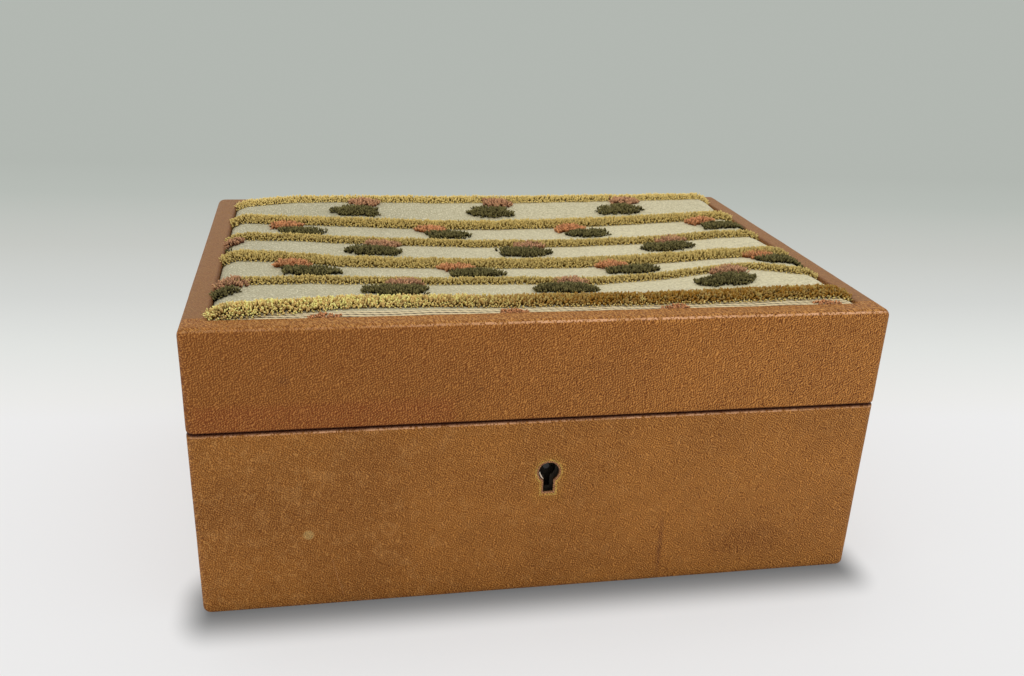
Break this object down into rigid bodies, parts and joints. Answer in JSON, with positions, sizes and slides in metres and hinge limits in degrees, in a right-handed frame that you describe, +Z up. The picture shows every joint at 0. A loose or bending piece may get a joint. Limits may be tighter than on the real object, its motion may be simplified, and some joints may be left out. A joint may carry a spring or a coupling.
{
  "type": "jewelry box",
  "caption": "Leather-covered jewelry box with a padded brocade lid panel, stop hinges, box lock and lift-out tray.",
  "frame": {"origin": "middle of the underside, on the surface that the box stands on", "axes": "+X to the right seen from the keyhole side, +Y to the hinges, +Z up"},
  "size_m": [0.23, 0.1688, 0.1066],
  "materials": {
    "tan_leather": "fine-grained, worn sheen",
    "wood": "sawn and planed, unvarnished",
    "velvet": "cut pile",
    "satin": "satin weave",
    "brocade": "satin ground with raised pile",
    "card": "grey board",
    "baize": "pressed felt",
    "brass": "aged, brushed",
    "steel": "drawn wire"
  },
  "bodies": {
    "base": {"base_front_panel": "wood", "base_back_panel": "wood", "base_left_panel": "wood", "base_right_panel": "wood", "base_bottom_board": "wood", "base_leather": "tan_leather", "base_underside_sheet": "baize", "base_lining_front": "velvet", "base_lining_back": "velvet", "base_lining_left": "velvet", "base_lining_right": "velvet", "base_floor_pad": "velvet", "tray_ledge_left": "velvet", "tray_ledge_right": "velvet", "hinge_left_base_leaf": "brass", "hinge_left_base_screw_1": "brass", "hinge_left_base_screw_2": "brass", "hinge_left_pin": "steel", "hinge_right_base_leaf": "brass", "hinge_right_base_screw_1": "brass", "hinge_right_base_screw_2": "brass", "hinge_right_pin": "steel", "lock_plate": "brass", "lock_case": "brass", "lock_drill_pin": "steel", "lock_screw_left": "brass", "lock_screw_right": "brass"},
    "bolt": {"lock_bolt": "brass", "lock_bolt_spring": "steel"},
    "lid": {"lid_front_panel": "wood", "lid_back_panel": "wood", "lid_left_panel": "wood", "lid_right_panel": "wood", "lid_top_board": "wood", "lid_leather": "tan_leather", "lid_lining_front": "satin", "lid_lining_back": "satin", "lid_lining_left": "satin", "lid_lining_right": "satin", "lid_inner_pad": "satin", "top_panel_card": "card", "top_brocade": "brocade", "hinge_left_lid_leaf": "brass", "hinge_left_lid_screw_1": "brass", "hinge_left_lid_screw_2": "brass", "hinge_right_lid_leaf": "brass", "hinge_right_lid_screw_1": "brass", "hinge_right_lid_screw_2": "brass", "link_plate": "brass", "link_screw_left": "brass", "link_screw_right": "brass"},
    "tray": {"tray_floor": "velvet", "tray_frame": "velvet", "tray_long_divider": "velvet", "tray_cross_divider": "velvet", "ring_roll_1": "velvet", "ring_roll_2": "velvet", "ring_roll_3": "velvet", "tray_pull_tab_left": "satin", "tray_pull_tab_right": "satin"}
  },
  "joints": [
    {"name": "lid_hinge", "type": "hinge", "parent": "base", "child": "lid", "pos_m": [0, 0.0836, 0.06715], "axis": [-1, 0, 0], "range_deg": [0, 100]},
    {"name": "bolt_throw", "type": "slide", "parent": "base", "child": "bolt", "axis": [1, 0, 0], "range_m": [0, 0.004]},
    {"name": "tray_lift", "type": "slide", "parent": "base", "child": "tray", "axis": [0, 0, 1], "range_m": [0, 0.0165]}
  ]
}
